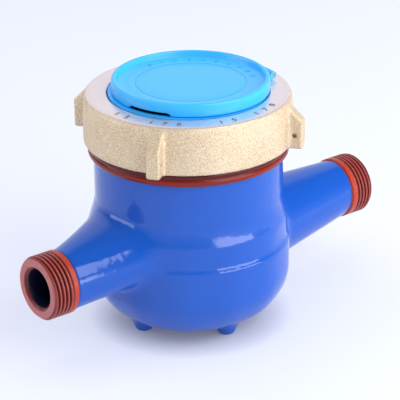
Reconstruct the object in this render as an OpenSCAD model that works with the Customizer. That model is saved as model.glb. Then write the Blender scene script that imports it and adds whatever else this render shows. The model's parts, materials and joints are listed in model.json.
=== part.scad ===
// Multi-jet vane-wheel water meter, 15 mm nominal bore, with a hinged lid and a dry pointer register.
// Pipe axis along X, inlet at +X, outlet at -X, meter axis along Z, feet on z = 0, millimetres.
// The origin lies on the floor under the middle of the pipe length.

/* [Pipe ends] */
// length from the outlet face to the inlet face
length = 170; // [165:0.5:190]
// place of the meter axis along the pipe, from the middle of the length
axis_x = -8; // [-10:0.25:-5]
// height of the pipe axis over the floor
pipe_z = 34.4; // [33:0.1:38]
// outside radius of the pipe thread
thread_r = 13.22; // [12.8:0.02:14]
// pitch of the pipe thread
thread_pitch = 1.814; // [1.5:0.002:2]
// depth of the pipe thread
thread_depth = 1.16; // [0.8:0.02:1.3]
// full turns of the pipe thread
thread_turns = 5; // [4:1:5]
// plain land behind the pipe thread
thread_land = 2; // [1.5:0.1:3]
// radius of the pipe bore
bore_r = 7.9; // [7:0.1:8.4]
// length of the straight bore at the outlet
outlet_straight = 16.2; // [14:0.1:18]
// length of the straight bore at the inlet
inlet_straight = 30; // [27:0.5:32]
// fall of the inlet passage
inlet_fall = 18; // [14:1:20]

/* [Casting] */
// outside radius of the collar that the ring nut is screwed on
collar_r = 40; // [37:0.1:44]
// how far the barrel lies inside the collar
barrel_step = 1; // [0.6:0.1:1.6]
// how far the middle of the casting stands out from the barrel
mid_step = 1.8; // [1:0.1:3]
// how far the lower bowl stands out from the middle
bowl_step = 0.8; // [0.6:0.1:1.6]
// how far the lower bowl is cast off centre
bowl_shift = -0.4; // [-1:0.1:-0.2]
// wall of the barrel
wall = 5.2; // [4.8:0.1:5.6]
// how far the flange under the ring nut stands out from the collar thread
flange_step = 1.3; // [0.8:0.1:1.8]
// height of the underside of the bowl
bowl_z = 3; // [2.6:0.1:5]
// height of the top of the lower bowl over the pipe axis
bowl_rise = 1; // [0.5:0.1:1.4]
// height of the lower edge of the shoulder over the pipe axis
shoulder_rise = 14.3; // [13:0.1:16]
// height of the seat of the register stack over the pipe axis
seat_rise = 43.3; // [42:0.1:47]
// radius of the circle the feet stand on
feet_pcd_r = 24.5; // [23:0.5:26]
// radius of each foot at the floor
foot_r = 3.6; // [2.5:0.1:4]

/* [Ring nut] */
// wall of the ring nut round the collar
ring_wall = 2.9; // [2.6:0.1:5]
// height of the ring nut
ring_h = 19.9; // [18.5:0.1:20.5]
// how far the lip of the ring nut reaches in from the collar radius
lip_w = 7; // [6.4:0.1:7.4]
// how far the lugs stand out from the ring nut
lug_reach = 5.6; // [4:0.1:6]
// width of each lug
lug_w = 6.3; // [5:0.1:8]
// direction of the first lug
lug_turn = -145; // [-180:1:180]
// radius of the seal wire holes
wire_r = 1; // [0.8:0.05:1.2]

/* [Lid] */
// how far the edge of the lid stays inside the opening of the ring nut
lid_gap = 0.75; // [0.6:0.05:2]
// thickness of the lid at its rim
lid_t = 5.4; // [4.5:0.1:6]
// depth of the sunk face of the lid
lid_sink = 2.4; // [1:0.1:2.6]
// how far the lid is set off the meter axis toward its hinge
lid_shift = 1.4; // [0.5:0.1:2]
// direction of the thumb slot from the meter axis
slot_turn = 200; // [180:1:220]
// direction of the hinge from the meter axis
hinge_turn = -5; // [-20:1:20]
// radius of the hinge pin
hinge_pin_r = 0.8; // [0.6:0.05:0.9]
// opening of the lid, for looking inside
lid_open = 0; // [0:1:110]

/* [Register] */
// angle between two pointers
pointer_step = 45; // [44:0.5:46]
// direction of the first pointer
pointer_start = -67.5; // [-90:0.5:-45]
// thickness of each gear
gear_t = 1.2; // [0.9:0.05:1.3]
// radius of the gear arbors
arbor_r = 0.5; // [0.4:0.02:0.55]

/* [Vane wheel] */
// gap between the vane wheel and the wall of the measuring chamber
vane_gap = 1; // [0.6:0.1:2]
// number of vanes
vanes = 7; // [5:1:9]
// number of jets in each row of the measuring chamber
jets = 10; // [6:1:12]
// width of each jet
jet_w = 2.6; // [2:0.1:3]
// height of each jet
jet_h = 5; // [4:0.1:5.5]

/* [Hidden] */
// smoothness of true curves
$fn = 64;
// running clearance of pins and arbors
run = 0.04;
// gap that keeps free pieces apart
free = 0.4;
// how far a cut runs past the wall it goes through
past = 1;

// pipe ends, measured from the meter axis
outlet_x = length / 2 + axis_x;
inlet_x = length / 2 - axis_x;
land_from = (thread_turns + 0.13) * thread_pitch;
land_to = land_from + thread_land;
arm_r = thread_r - thread_depth;
neck_r = arm_r + 0.5;

// heights of the casting
bowl_top_z = pipe_z + bowl_rise;
bowl_bend_z = pipe_z - 9.6;
shoulder_z = pipe_z + shoulder_rise;
shoulder_top = shoulder_z + 5.5;
seat_z = pipe_z + seat_rise;
collar_z = seat_z - 2.9;
collar_pitch = 2.9;
rim_h = 16.5;
rim_z = seat_z + rim_h;
ledge_z = bowl_top_z + 1;
ledge_t = 4;
ledge_top = ledge_z + ledge_t;

// radii of the casting, all from the collar
barrel_r = collar_r - barrel_step;
mid_r = barrel_r + mid_step;
bowl_r = mid_r + bowl_step;
cav_r = barrel_r - wall;
lower_r = mid_r - wall - 0.8;
ledge_r = cav_r - 8.5;
bore_top_r = collar_r - 3.5;
flange_r = collar_r + flange_step;

// water passages; the outlet passage rises over the partition ledge
passage_r = bore_r + 0.3;
outlet_pass_r = bore_r - 1.6;
elbow_r = bore_r + 0.45;
outlet_run = outlet_x - outlet_straight;
inlet_run = inlet_x - inlet_straight;
outlet_rise = atan2(ledge_z + 2 + 1.08 * outlet_pass_r - pipe_z, outlet_run - lower_r);

// stack of pieces under the ring nut, from the seat upward
seal_t = 1.5;
flange_z = seat_z + seal_t;
flange_t = 3;
cup_seat = flange_z + flange_t;
stack_r = bore_top_r - 0.3;
top_plate_z = cup_seat + 1.4;
gasket_z = cup_seat + 8.3;
gasket_t = 0.7;
glass_z = gasket_z + gasket_t;
glass_t = 4;
bezel_z = glass_z + glass_t;
bezel_flange_t = 1.4;
washer_z = bezel_z + bezel_flange_t;
washer_t = 0.6;
lip_z = washer_z + washer_t;
lip_t = 3.1;

// ring nut, lid ring and lid
ring_top = lip_z + lip_t;
ring_z = ring_top - ring_h;
ring_r = collar_r + ring_wall;
ring_bore_r = collar_r + 0.1;
opening_r = collar_r - lip_w;
lug_r = ring_r + lug_reach;
bezel_top = ring_top;
bezel_r = opening_r - 0.4;
bezel_in = bezel_r - 2.7;
lid_r = opening_r - lid_gap;
lid_z = bezel_top + 0.3;
lid_top = lid_z + lid_t;
lid_face = lid_top - lid_sink;
lid_floor = lid_z + 0.9;
rim_w = 2.4;

// hinge of the lid
knuckle_r = hinge_pin_r + 0.8;
hinge_x = lid_shift + lid_r + knuckle_r + 0.3;
hinge_z = bezel_top + knuckle_r + 0.3;
knuckle_l = 11;
ear_l = 4;
hinge_gap = 0.4;
strap_t = 0.7;
slot_l = 19;
hinge_half = knuckle_l / 2 + hinge_gap + ear_l;

// dry side
plate_depth = 10;
plate_floor_z = seat_z - plate_depth;
plate_floor_t = 2.8;
plate_r = cav_r - 0.5;
plate_in = plate_r - 2.2;
cup_r = plate_in - 0.2;
cup_in = cup_r - 1.2;
cup_floor_z = plate_floor_z + plate_floor_t;
cup_floor_t = 1.4;
base_z = cup_floor_z + cup_floor_t + 3.5;
plate_t = 1;
level_pitch = gear_t + 0.4;
gear_z = base_z + plate_t + 0.5;
gear_room = top_plate_z - base_z - plate_t;
dial_t = 0.5;
dial_z = top_plate_z + plate_t;
dial_r = bore_top_r - 2;
pointer_z = dial_z + dial_t + 0.6;
pointer_t = 0.8;
arbor_top = pointer_z + pointer_t;
pillar_r = 1.6;

// gear train: centre pinion to first idler to pointer 1, then ten to one for each further pointer
pointer_pcd_r = 0.6 * cup_in;
first_mod = pointer_pcd_r / 47.2;
first_pinion = 8;
first_wheel = 40;
first_c = first_mod * (first_pinion + first_wheel) / 2;
step_mod_a = pointer_pcd_r / 42.5;
step_pinion_a = 10;
step_wheel_a = 32;
step_c_a = step_mod_a * (step_pinion_a + step_wheel_a) / 2;
step_mod_b = pointer_pcd_r / 34;
step_pinion_b = 8;
step_wheel_b = 25;
step_c_b = step_mod_b * (step_pinion_b + step_wheel_b) / 2;

// wet side
chamber_r = ledge_r - 2.5;
chamber_in = chamber_r - 1.7;
chamber_depth = 22;
chamber_z = ledge_top - chamber_depth;
chamber_top = plate_floor_z - 9.5;
chamber_floor_t = 2;
chamber_flange_t = 2;
chamber_flange_r = ledge_r + 3.5;
jet_z = chamber_z + 6;
outflow_z = ledge_top + 5;
strainer_r = ledge_r - 0.3;
strainer_wall = 1;
strainer_flange_t = 1;
strainer_depth = 28;
strainer_z = ledge_top - strainer_depth;
slot_z = strainer_z + 3;
slot_w = 3;
slot_h = 4;
slot_pitch = 6.5;
inlet_strainer_l = 9;
inlet_strainer_t = 1.2;
mesh_pitch = 2.7;
mesh_w = 1.8;
cover_t = 2;
crown_r = 0.64 * chamber_r;
crown_t = 1.5;
crown_z = chamber_top + cover_t - 0.5;
pivot_r = 1;
pivot_top = chamber_z + 6;
wheel_z = chamber_z + 4;
wheel_h = 16;
hub_r = 4;
vane_t = 1.2;
vane_r = chamber_in - vane_gap;
shaft_r = 1.5;
magnet_r = 0.31 * chamber_r;
rotor_z = chamber_top + cover_t + 2;
rotor_t = plate_floor_z - rotor_z - 1.2;
follower_z = cup_floor_z + cup_floor_t + 0.5;
follower_t = base_z - follower_z - 0.5;

// places of the arbors in the register
function polar(r, a) = [r * cos(a), r * sin(a)];
function bearing(p, q) = atan2(q[1] - p[1], q[0] - p[0]);
function third(p, q, a, b, side) =
    let (c = norm(q - p), x = (a * a - b * b + c * c) / (2 * c), h = sqrt(max(0, a * a - x * x)))
    p + polar(x, bearing(p, q)) + side * polar(h, bearing(p, q) + 90);
function pointer_at(i) = polar(pointer_pcd_r, pointer_start + pointer_step * (i - 1));
function idler_at(i) =
    i == 0 ? third([0, 0], pointer_at(1), first_c, first_c, -1)
           : third(pointer_at(i), pointer_at(i + 1), step_c_a, step_c_b, -1);
// the four gear levels between the plates; stages use levels 0 and 1, then 2 and 3, by turns
function level(k) = gear_z + level_pitch * k;
function stage_level(i) = (i % 2 == 1) ? 0 : 2;

// places a piece on the meter axis
module at_axis() {
    translate([axis_x, 0, 0])
    children();
}

// straight tube
module tube(r1, r2, z, h) {
    translate([0, 0, z])
    difference() {
        cylinder(r = r2, h = h);
        translate([0, 0, -1])
        cylinder(r = r1, h = h + 2);
    }
}

// spur gear with straight-flanked teeth and play between them; a tooth points along X
module spur(teeth, mod, z) {
    pr = mod * teeth / 2;
    step = 360 / teeth;
    tip = pr + 0.85 * mod;
    root = pr - 1.1 * mod;
    translate([0, 0, z])
    linear_extrude(gear_t)
    polygon([for (i = [0 : teeth - 1]) for (k = [0 : 3])
        polar(k == 0 || k == 3 ? root : tip, step * (i + [-0.27, -0.1, 0.1, 0.27][k]))]);
}

// pipe end with ring-grooved thread and a plain land, from x = 0 at the end face inward along +X
module pipe_thread() {
    n = thread_turns;
    p = thread_pitch;
    rotate([90, 0, 90])
    rotate_extrude()
    polygon(concat(
        [[0, 0], [thread_r - 0.95 * thread_depth, 0], [thread_r - 0.17 * thread_depth, 0.5 * p]],
        [for (i = [0 : n - 1]) for (q = [[0, 0.575], [-1, 0.8], [-1, 0.905], [0, 1.13]])
            [thread_r + q[0] * thread_depth, (i + q[1]) * p]],
        [[thread_r, land_to], [arm_r, land_to + 0.8], [arm_r, land_to + 4], [0, land_to + 4]]));
}

// cast arm: oval sections from the thread to inside the barrel
module arm(x0, x1, w1, top1, low1, k) {
    n = 14;
    m = 32;
    pts = [for (i = [0 : n]) let (t = i / n, e = pow(t, k)) for (j = [0 : m - 1]) let (a = 360 * j / m,
        top = pipe_z + neck_r + (top1 - pipe_z - neck_r) * e,
        low = pipe_z - neck_r + (low1 - pipe_z + neck_r) * t,
        w = neck_r + (w1 - neck_r) * e)
        [x0 + (x1 - x0) * t, w * cos(a), (top + low) / 2 + (top - low) / 2 * sin(a)]];
    up = x1 > x0;
    side = [for (i = [0 : n - 1]) for (j = [0 : m - 1]) let (a = i * m + j, b = i * m + (j + 1) % m)
        each up ? [[a, a + m, b + m], [a, b + m, b]] : [[a, b + m, a + m], [a, b, b + m]]];
    first = [for (j = [0 : m - 1]) up ? j : m - 1 - j];
    last = [for (j = [0 : m - 1]) n * m + (up ? m - 1 - j : j)];
    polyhedron(points = pts, faces = concat(side, [first], [last]));
}

// bowl profile, from the axis at the bottom to the wall at the top
function bowl_curve(r, z0, z1, flat) =
    [for (i = [0 : 8]) let (a = 90 * i / 8) [flat + (r - flat) * sin(a), z1 - (z1 - z0) * cos(a)]];

// outside of the casting
module casting() {
    translate([bowl_shift, 0, 0])
    rotate_extrude()
    polygon(concat([[0, bowl_z]], bowl_curve(bowl_r, bowl_z, bowl_bend_z, 0.44 * bowl_r),
        [[bowl_r, bowl_top_z - 0.6], [bowl_r - 1, bowl_top_z], [0, bowl_top_z]]));
    rotate_extrude()
    polygon(concat([[0, bowl_z + 1.5]], bowl_curve(mid_r, bowl_z + 1.5, bowl_bend_z + 0.6, 0.5 * mid_r),
        [[mid_r, shoulder_z], [barrel_r, shoulder_top], [barrel_r, collar_z - 1], [flange_r - 0.8,
            collar_z],
         [flange_r, collar_z + 0.8], [flange_r, collar_z + 2.2], [flange_r - 0.7, collar_z + 2.6],
         [flange_r - 0.7, collar_z + 3], [flange_r, collar_z + 3.4], [flange_r, ring_z - 0.9],
         [flange_r - 0.5, ring_z - 0.4], [collar_r, ring_z - 0.4]],
        [for (i = [0 : 3]) for (q = [[0, 1.2], [-1, 1.5], [-1, 1.9], [0, 2.2]])
            [collar_r + q[0], ring_z + i * collar_pitch + q[1]]],
        [[collar_r, rim_z - 0.8], [collar_r - 0.8, rim_z], [0, rim_z]]));
    arm(-outlet_x + land_to + 0.6, -0.6 * mid_r, 0.66 * mid_r, shoulder_top + 6, pipe_z - 7, 1.2);
    arm(inlet_x - land_to - 0.6, 0.6 * mid_r, 0.5 * mid_r, shoulder_z, pipe_z - 23, 1);
    for (s = [0 : 3])
        rotate([0, 0, 90 * s])
        translate([feet_pcd_r, 0, 0])
        cylinder(r1 = foot_r, r2 = foot_r + 3, h = bowl_z + 3.5);
}

// cast body with both pipe ends, the partition ledge and the water passages
module body() {
    color("#2f5fd0")
    at_axis()
    difference() {
        union() {
            casting();
            translate([-outlet_x, 0, pipe_z])
            pipe_thread();
            translate([inlet_x, 0, pipe_z])
            mirror([1, 0, 0])
            pipe_thread();
        }
        rotate_extrude()
        polygon(concat([[0, bowl_z + 4]], bowl_curve(lower_r, bowl_z + 4, bowl_bend_z + 0.6, 0.4 * mid_r),
            [[lower_r, ledge_z], [0, ledge_z]]));
        translate([0, 0, ledge_z - past])
        cylinder(r = ledge_r, h = ledge_t + 2 * past);
        translate([0, 0, ledge_top])
        cylinder(r = cav_r, h = seat_z - ledge_top + past);
        translate([0, 0, seat_z])
        cylinder(r = bore_top_r, h = rim_z - seat_z + past);
        translate([-outlet_x - past, 0, pipe_z])
        rotate([0, 90, 0])
        cylinder(r = bore_r, h = outlet_straight + past + 0.3);
        translate([-outlet_run, 0, pipe_z])
        rotate([0, 90 - outlet_rise, 0])
        cylinder(r = outlet_pass_r, h = (outlet_run - cav_r + 0.9 * outlet_pass_r) / cos(outlet_rise));
        translate([-outlet_run, 0, pipe_z])
        sphere(r = elbow_r);
        translate([inlet_run, 0, pipe_z])
        rotate([0, 90, 0])
        cylinder(r = bore_r, h = inlet_straight + past);
        translate([inlet_run + 0.2, 0, pipe_z])
        sphere(r = elbow_r);
        translate([inlet_run, 0, pipe_z])
        rotate([0, -90 - inlet_fall, 0])
        cylinder(r = passage_r, h = (inlet_run - cav_r + 0.6 * passage_r) / cos(inlet_fall));
    }
}

// cast ring nut that clamps the register stack on the body
module ring_nut() {
    color("#cbb27e")
    at_axis()
    difference() {
        union() {
            rotate_extrude()
            polygon([[opening_r, lip_z], [ring_bore_r, lip_z], [ring_bore_r, ring_z + 0.6],
                [ring_bore_r + 0.6, ring_z], [ring_r, ring_z], [ring_r, ring_z + ring_h / 2],
                [ring_r - 0.5, ring_top - 1.7], [ring_r - 1.5, ring_top], [opening_r + 0.4, ring_top],
                [opening_r, ring_top - 0.4]]);
            for (s = [0 : 3])
                rotate([90, 0, lug_turn + 90 * s])
                translate([0, 0, -lug_w / 2])
                linear_extrude(lug_w)
                polygon([[ring_r - ring_wall / 2, ring_z], [lug_r, ring_z], [lug_r,
                    ring_top - 1.45 * lug_reach],
                    [ring_r - 0.4, ring_top - 2], [ring_r - ring_wall / 2, ring_top - 2]]);
        }
        for (s = [0, 1])
            rotate([90, 0, lug_turn + 90 * s])
            translate([ring_r + 0.4 * lug_reach, ring_z + 0.28 * ring_h, -lug_w])
            cylinder(r = wire_r, h = 2 * lug_w);
    }
}

// thin slip washer between the ring nut and the bezel
module slip_washer() {
    color("#d9d9d4")
    at_axis()
    tube(opening_r + 0.3, stack_r, washer_z, washer_t);
}

// frame that turns a piece so that +X points at the hinge
module at_hinge() {
    rotate([0, 0, hinge_turn])
    children();
}

// plastic ring in the opening that carries the lid
module lid_bezel() {
    color("#3fa9f0")
    at_axis()
    difference() {
        union() {
            tube(bezel_in, stack_r, bezel_z, bezel_flange_t);
            tube(bezel_in, bezel_r, bezel_z, bezel_top - bezel_z);
            at_hinge()
            for (s = [-1, 1])
                translate([0, s * (knuckle_l / 2 + hinge_gap + ear_l / 2) - ear_l / 2, 0])
                union() {
                    translate([hinge_x, 0, hinge_z])
                    rotate([-90, 0, 0])
                    cylinder(r = knuckle_r, h = ear_l);
                    translate([bezel_in - 0.2, 0, ring_top + 0.1])
                    cube([hinge_x - bezel_in + 0.2, ear_l, strap_t]);
                    translate([bezel_in - 0.2, 0, bezel_top - 1])
                    cube([1.2, ear_l, 1.1 + strap_t]);
                }
        }
        at_hinge()
        translate([hinge_x, -hinge_half - past, hinge_z])
        rotate([-90, 0, 0])
        cylinder(r = hinge_pin_r, h = 2 * (hinge_half + past));
    }
}

// steel pin of the lid hinge, pressed in the bezel's ears
module hinge_pin() {
    color("#b9bcc0")
    at_axis()
    at_hinge()
    translate([hinge_x, -hinge_half, hinge_z])
    rotate([-90, 0, 0])
    cylinder(r = hinge_pin_r, h = 2 * hinge_half);
}

// hinged lid with a raised rim, a fine ring groove and a thumb slot
module lid() {
    notch = hinge_half + hinge_gap;
    color("#49b4f5")
    at_axis()
    at_hinge()
    translate([hinge_x, 0, hinge_z])
    rotate([0, lid_open, 0])
    translate([-hinge_x, 0, -hinge_z])
    difference() {
        union() {
            difference() {
                translate([lid_shift, 0, 0])
                rotate_extrude()
                polygon([[0, lid_floor], [lid_r - 2.4, lid_floor], [lid_r - 2.4, lid_z],
                    [lid_r - 0.3, lid_z],
                    [lid_r, lid_z + 0.3], [lid_r, lid_top - 0.9], [lid_r - 0.9, lid_top],
                    [lid_r - rim_w + 0.5, lid_top], [lid_r - rim_w - 0.4, lid_face],
                    [0.7 * lid_r + 0.4, lid_face], [0.7 * lid_r, lid_face - 0.3],
                    [0.7 * lid_r - 0.4, lid_face], [0, lid_face]]);
                translate([bezel_in - 0.6, -notch, lid_z - past])
                cube([2 * notch, 2 * notch, lid_floor - lid_z + past]);
                translate([lid_shift, 0, 0])
                rotate([0, 0, slot_turn - hinge_turn])
                translate([lid_r - 2.6, -slot_l / 2, lid_z - past])
                cube([2.6 + past, slot_l, lid_floor + 0.3 - lid_z + past]);
            }
            translate([hinge_x, -knuckle_l / 2, hinge_z])
            rotate([-90, 0, 0])
            cylinder(r = knuckle_r, h = knuckle_l);
            translate([hinge_x - knuckle_r - 1.8, -knuckle_l / 2, hinge_z - 0.2])
            cube([knuckle_r + 1.8, knuckle_l, 1.2]);
        }
        translate([hinge_x, -hinge_half - past, hinge_z])
        rotate([-90, 0, 0])
        cylinder(r = hinge_pin_r + run, h = 2 * (hinge_half + past));
    }
}

// register glass
module glass() {
    color("#dfeef2", 0.4)
    at_axis()
    translate([0, 0, glass_z])
    cylinder(r = stack_r, h = glass_t);
}

// flat gasket under the glass
module glass_gasket() {
    color("#202020")
    at_axis()
    tube(dial_r - 0.6, stack_r, gasket_z, gasket_t);
}

// plate that parts the dry register from the water, clamped on the body's seat
module pressure_plate() {
    color("#8a8f94")
    at_axis()
    rotate_extrude()
    polygon([[0, plate_floor_z], [plate_r, plate_floor_z], [plate_r, flange_z], [stack_r, flange_z],
        [stack_r, cup_seat], [plate_in, cup_seat], [plate_in, cup_floor_z], [0, cup_floor_z]]);
}

// rubber ring under the flange of the pressure plate
module plate_seal() {
    color("#1b1b1b")
    at_axis()
    tube(cav_r + 0.5, stack_r, seat_z, seal_t);
}

// measuring chamber with a lower row of slanted jets in and an upper row out
module measuring_chamber() {
    color("#e9e6da")
    at_axis()
    difference() {
        union() {
            translate([0, 0, chamber_z])
            cylinder(r = chamber_r, h = chamber_top - chamber_z);
            translate([0, 0, ledge_top + strainer_flange_t])
            cylinder(r = chamber_flange_r, h = chamber_flange_t);
        }
        translate([0, 0, chamber_z + chamber_floor_t])
        cylinder(r = chamber_in, h = chamber_top);
        translate([0, 0, chamber_z - past])
        cylinder(r = pivot_r, h = chamber_floor_t + 2 * past);
        for (s = [0 : jets - 1])
            rotate([0, 0, 360 * s / jets])
            union() {
                translate([chamber_in * 0.72, 0, jet_z])
                cube([jet_w, chamber_r + past, jet_h]);
                translate([-chamber_in * 0.72 - jet_w, 0, outflow_z])
                cube([jet_w, chamber_r + past, jet_h]);
            }
    }
}

// cover of the measuring chamber with the upper bearing and a crown under the pressure plate
module chamber_cover() {
    color("#d8d4c6")
    at_axis()
    difference() {
        union() {
            translate([0, 0, chamber_top])
            cylinder(r = chamber_r, h = cover_t);
            tube(crown_r - crown_t, crown_r, crown_z, plate_floor_z - crown_z);
            translate([0, 0, chamber_top - 1])
            cylinder(r = chamber_in - 0.1, h = 1.5);
        }
        translate([0, 0, chamber_top - 2])
        cylinder(r = shaft_r + run, h = cover_t + 4);
    }
}

// slotted strainer basket round the lower half of the measuring chamber
module bowl_strainer() {
    color("#f0eee6")
    at_axis()
    difference() {
        union() {
            translate([0, 0, strainer_z])
            cylinder(r = strainer_r, h = ledge_top - strainer_z);
            translate([0, 0, ledge_top])
            cylinder(r = chamber_flange_r, h = strainer_flange_t);
        }
        translate([0, 0, strainer_z + strainer_wall])
        cylinder(r = strainer_r - strainer_wall, h = ledge_top - strainer_z + past);
        for (s = [0 : 11])
            rotate([0, 0, 30 * s])
            for (k = [0 : 2])
                translate([strainer_r - 3 * strainer_wall, -slot_w / 2, slot_z + slot_pitch * k])
                cube([6 * strainer_wall, slot_w, slot_h]);
    }
}

// plastic strainer pushed into the inlet bore
module inlet_strainer() {
    color("#e4e2d8")
    at_axis()
    translate([inlet_run + past, 0, pipe_z])
    rotate([0, 90, 0])
    difference() {
        cylinder(r = bore_r, h = inlet_strainer_l);
        translate([0, 0, inlet_strainer_t])
        cylinder(r = bore_r - strainer_wall, h = inlet_strainer_l);
        for (i = [-2 : 2])
            for (j = [-2 : 2])
                if (abs(i) + abs(j) < 4)
                    translate([mesh_pitch * i - mesh_w / 2, mesh_pitch * j - mesh_w / 2, -past])
                    cube([mesh_w, mesh_w, inlet_strainer_t + 2 * past]);
    }
}

// steel pivot that the vane wheel turns on
module pivot_pin() {
    color("#b4b8bc")
    at_axis()
    translate([0, 0, chamber_z])
    cylinder(r = pivot_r, h = pivot_top - chamber_z);
}

// vane wheel with its shaft
module impeller() {
    color("#f2c14a")
    at_axis()
    difference() {
        union() {
            translate([0, 0, wheel_z])
            cylinder(r = hub_r, h = wheel_h + 2);
            for (s = [0 : vanes - 1])
                rotate([0, 0, 360 * s / vanes])
                translate([0, -vane_t / 2, wheel_z])
                cube([vane_r, vane_t, wheel_h]);
            translate([0, 0, wheel_z + wheel_h])
            cylinder(r = shaft_r, h = rotor_z + rotor_t - wheel_z - wheel_h);
            translate([0, 0, chamber_top + cover_t + 0.6])
            cylinder(r = 2 * shaft_r, h = rotor_z - chamber_top - cover_t - 0.6);
        }
        translate([0, 0, wheel_z - 1])
        cylinder(r = pivot_r + run, h = pivot_top - wheel_z + 1.4);
    }
}

// driving magnet on the shaft of the vane wheel
module drive_magnet() {
    color("#4a4a4d")
    at_axis()
    tube(shaft_r, magnet_r, rotor_z, rotor_t);
}

// clear cup that holds the register
module register_cup() {
    color("#dfe6ea")
    at_axis()
    rotate_extrude()
    polygon([[0, cup_floor_z], [cup_r, cup_floor_z], [cup_r, cup_seat], [stack_r, cup_seat],
        [stack_r, gasket_z],
        [dial_r + 0.2, gasket_z], [dial_r + 0.2, top_plate_z], [cup_in, top_plate_z], [cup_in, base_z],
        [cup_in - 1.5, base_z], [cup_in - 1.5, cup_floor_z + cup_floor_t], [0, cup_floor_z + cup_floor_t]]);
}

// pivot holes of the gear train
module pivot_holes(r) {
    for (i = [1 : 6])
        translate(pointer_at(i))
        circle(r = r);
    for (i = [0 : 5])
        translate(idler_at(i))
        circle(r = r);
}

// lower gear plate
module base_plate() {
    color("#c9c2a0")
    at_axis()
    translate([0, 0, base_z])
    linear_extrude(plate_t)
    difference() {
        circle(r = cup_in - 0.2);
        circle(r = shaft_r / 2 + run);
        pivot_holes(arbor_r + run);
    }
}

// pillars between the gear plates
module plate_pillars() {
    color("#c0b070")
    at_axis()
    for (a = [190, 222, 254])
        translate([(cup_in - 3) * cos(a), (cup_in - 3) * sin(a), base_z + plate_t])
        cylinder(r = pillar_r, h = gear_room);
}

// upper gear plate
module top_plate() {
    color("#c9c2a0")
    at_axis()
    translate([0, 0, top_plate_z])
    linear_extrude(plate_t)
    difference() {
        circle(r = dial_r);
        circle(r = shaft_r / 2 + run);
        pivot_holes(arbor_r + run);
    }
}

// printed dial
module dial_plate() {
    color("#f4f4f0")
    at_axis()
    translate([0, 0, dial_z])
    linear_extrude(dial_t)
    difference() {
        circle(r = dial_r);
        circle(r = shaft_r / 2 + free);
        for (i = [1 : 6])
            translate(pointer_at(i))
            circle(r = arbor_r + free);
    }
}

// centre arbor turned by the magnet coupling, with the first pinion
module follower_arbor() {
    color("#f2efe4")
    at_axis()
    union() {
        translate([0, 0, follower_z])
        cylinder(r = shaft_r / 2, h = arbor_top - follower_z);
        rotate([0, 0, bearing([0, 0], idler_at(0))])
        spur(first_pinion, first_mod, level(2));
    }
}

// follower magnet on the centre arbor
module follower_magnet() {
    color("#4a4a4d")
    at_axis()
    tube(shaft_r / 2, magnet_r, follower_z, follower_t);
}

// star wheel over the dial that shows small flows
module star_wheel() {
    color("#d23a2e")
    at_axis()
    translate([0, 0, pointer_z])
    linear_extrude(pointer_t)
    difference() {
        polygon([for (i = [0 : 11]) for (k = [0, 1]) pointer_pcd_r * polar(k == 0 ? 0.29 : 0.18,
            30 * i + 15 * k)]);
        circle(r = shaft_r / 2);
    }
}

// idler between the centre arbor and the first pointer
module first_idler() {
    p = idler_at(0);
    color("#f2efe4")
    at_axis()
    translate([p[0], p[1], 0])
    union() {
        translate([0, 0, base_z + 0.1])
        cylinder(r = arbor_r, h = dial_z - base_z - 0.4);
        rotate([0, 0, bearing(p, [0, 0]) + 180 / first_wheel])
        spur(first_wheel, first_mod, level(2));
        rotate([0, 0, bearing(p, pointer_at(1))])
        spur(first_pinion, first_mod, level(3));
    }
}

// idler between pointer i and pointer i + 1
module idler(i) {
    p = idler_at(i);
    k = stage_level(i);
    color("#f2efe4")
    at_axis()
    translate([p[0], p[1], 0])
    union() {
        translate([0, 0, base_z + 0.1])
        cylinder(r = arbor_r, h = dial_z - base_z - 0.4);
        rotate([0, 0, bearing(p, pointer_at(i)) + 180 / step_wheel_a])
        spur(step_wheel_a, step_mod_a, level(k));
        rotate([0, 0, bearing(p, pointer_at(i + 1))])
        spur(step_pinion_b, step_mod_b, level(k + 1));
    }
}

// arbor of pointer i with its wheel and the pinion that drives the next idler
module pointer_gear(i) {
    p = pointer_at(i);
    color("#f2efe4")
    at_axis()
    translate([p[0], p[1], 0])
    union() {
        translate([0, 0, base_z + 0.1])
        cylinder(r = arbor_r, h = arbor_top - base_z - 0.1);
        if (i == 1)
            rotate([0, 0, bearing(p, idler_at(0)) + 180 / first_wheel])
            spur(first_wheel, first_mod, level(3));
        else
            rotate([0, 0, bearing(p, idler_at(i - 1)) + 180 / step_wheel_b])
            spur(step_wheel_b, step_mod_b, level(stage_level(i - 1) + 1));
        if (i < 6)
            rotate([0, 0, bearing(p, idler_at(i))])
            spur(step_pinion_a, step_mod_a, level(stage_level(i)));
    }
}

// pointer i on the end of its arbor
module pointer(i) {
    p = pointer_at(i);
    at_axis()
    translate([p[0], p[1], pointer_z])
    rotate([0, 0, pointer_start + pointer_step * (i - 1)])
    difference() {
        union() {
            cylinder(r = 1.5, h = pointer_t);
            linear_extrude(pointer_t)
            polygon([[-2.4, 0.7], [4.6, 0.12], [4.6, -0.12], [-2.4, -0.7]]);
        }
        translate([0, 0, -1])
        cylinder(r = arbor_r, h = pointer_t + 2);
    }
}

module idler_1() { idler(1); }
module idler_2() { idler(2); }
module idler_3() { idler(3); }
module idler_4() { idler(4); }
module idler_5() { idler(5); }
module pointer_gear_1() { pointer_gear(1); }
module pointer_gear_2() { pointer_gear(2); }
module pointer_gear_3() { pointer_gear(3); }
module pointer_gear_4() { pointer_gear(4); }
module pointer_gear_5() { pointer_gear(5); }
module pointer_gear_6() { pointer_gear(6); }
module pointer_1() { color("#d23a2e") pointer(1); }
module pointer_2() { color("#d23a2e") pointer(2); }
module pointer_3() { color("#d23a2e") pointer(3); }
module pointer_4() { color("#d23a2e") pointer(4); }
module pointer_5() { color("#222222") pointer(5); }
module pointer_6() { color("#222222") pointer(6); }

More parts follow.
